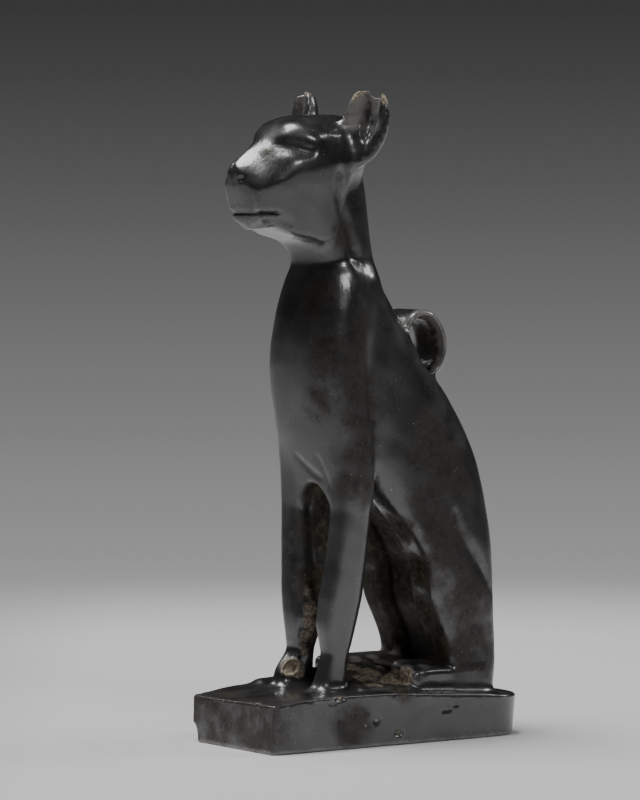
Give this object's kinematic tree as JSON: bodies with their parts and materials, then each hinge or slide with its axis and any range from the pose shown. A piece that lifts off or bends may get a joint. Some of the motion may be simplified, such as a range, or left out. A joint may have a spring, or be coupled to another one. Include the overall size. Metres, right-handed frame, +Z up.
{
  "type": "bastet cat figure",
  "caption": "Small seated cat amulet of polished black stone, sitting upright on a plinth, with a hanging loop on its back and chipped ears and feet.",
  "frame": {"origin": "middle of the plinth's underside", "axes": "+Z up, -Y the way the cat looks, +X the cat's left side"},
  "size_m": [0.0115, 0.0239, 0.0492],
  "materials": {
    "stone": "polished"
  },
  "bodies": {
    "root": {"bastet_cat": "stone"}
  },
  "joints": []
}
